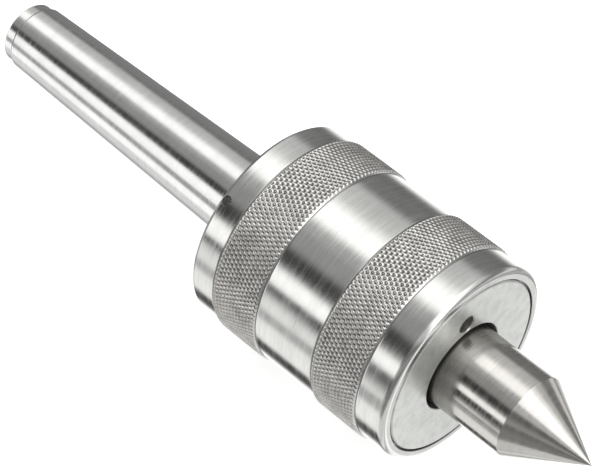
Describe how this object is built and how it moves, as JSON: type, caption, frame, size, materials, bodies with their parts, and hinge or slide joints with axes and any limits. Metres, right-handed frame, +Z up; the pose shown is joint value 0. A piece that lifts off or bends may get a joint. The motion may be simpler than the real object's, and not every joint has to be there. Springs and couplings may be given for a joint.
{
  "type": "live center",
  "caption": "Rotating lathe center: a 60 degree point on a bearing-mounted spindle in a round knurled body with a Morse taper No. 2 shank.",
  "frame": {"origin": "on the spin axis, at the gauge plane of the Morse taper, 5 mm behind the rear face of the body", "axes": "+X along the spin axis from the shank towards the point, +Z up, +Y to the left when looking along +X"},
  "size_m": [0.1582, 0.045, 0.045],
  "materials": {
    "body_steel": "ground and polished bare steel, with knurled bands",
    "nut_steel": "satin, face-turned bare steel",
    "spindle_steel": "hardened and ground, dark polished steel",
    "race_steel": "ground bearing steel",
    "ball_steel": "polished bearing steel",
    "cage_brass": "machined brass",
    "cage_steel": "pressed steel, dark",
    "shield_steel": "pressed sheet steel",
    "spring_steel": "blued spring steel",
    "seal_rubber": "black nitrile rubber"
  },
  "bodies": {
    "housing": {"body_shank": "body_steel", "front_nut": "nut_steel", "seal_case": "shield_steel", "seal_lip": "seal_rubber", "seal_garter_spring": "spring_steel", "preload_disc_spring": "spring_steel", "front_outer_race": "race_steel", "front_shield": "shield_steel", "rear_shield": "shield_steel", "thrust_housing_washer": "race_steel", "needle_cup": "race_steel"},
    "spindle": {"spindle": "spindle_steel", "front_inner_race": "race_steel", "shaft_circlip": "spring_steel", "spacer_sleeve": "race_steel", "thrust_shaft_washer": "race_steel"},
    "front_ball_set": {"front_balls": "ball_steel", "front_ball_cage": "cage_brass"},
    "thrust_ball_set": {"thrust_balls": "ball_steel", "thrust_ball_cage": "cage_brass"},
    "needle_set": {"needle_rollers": "ball_steel", "needle_roller_cage": "cage_steel"}
  },
  "joints": [
    {"name": "spindle_spin", "type": "hinge", "parent": "housing", "child": "spindle", "pos_m": [0, 0, 0], "axis": [1, 0, 0], "continuous": true},
    {"name": "front_ball_set_spin", "type": "hinge", "parent": "housing", "child": "front_ball_set", "pos_m": [0, 0, 0], "axis": [1, 0, 0], "continuous": true},
    {"name": "thrust_ball_set_spin", "type": "hinge", "parent": "housing", "child": "thrust_ball_set", "pos_m": [0, 0, 0], "axis": [1, 0, 0], "continuous": true},
    {"name": "needle_set_spin", "type": "hinge", "parent": "housing", "child": "needle_set", "pos_m": [0, 0, 0], "axis": [1, 0, 0], "continuous": true}
  ],
  "couplings": [
    {"joint": "front_ball_set_spin", "follows": "spindle_spin", "ratio": 0.4085},
    {"joint": "thrust_ball_set_spin", "follows": "spindle_spin", "ratio": 0.5},
    {"joint": "needle_set_spin", "follows": "spindle_spin", "ratio": 0.4307}
  ]
}
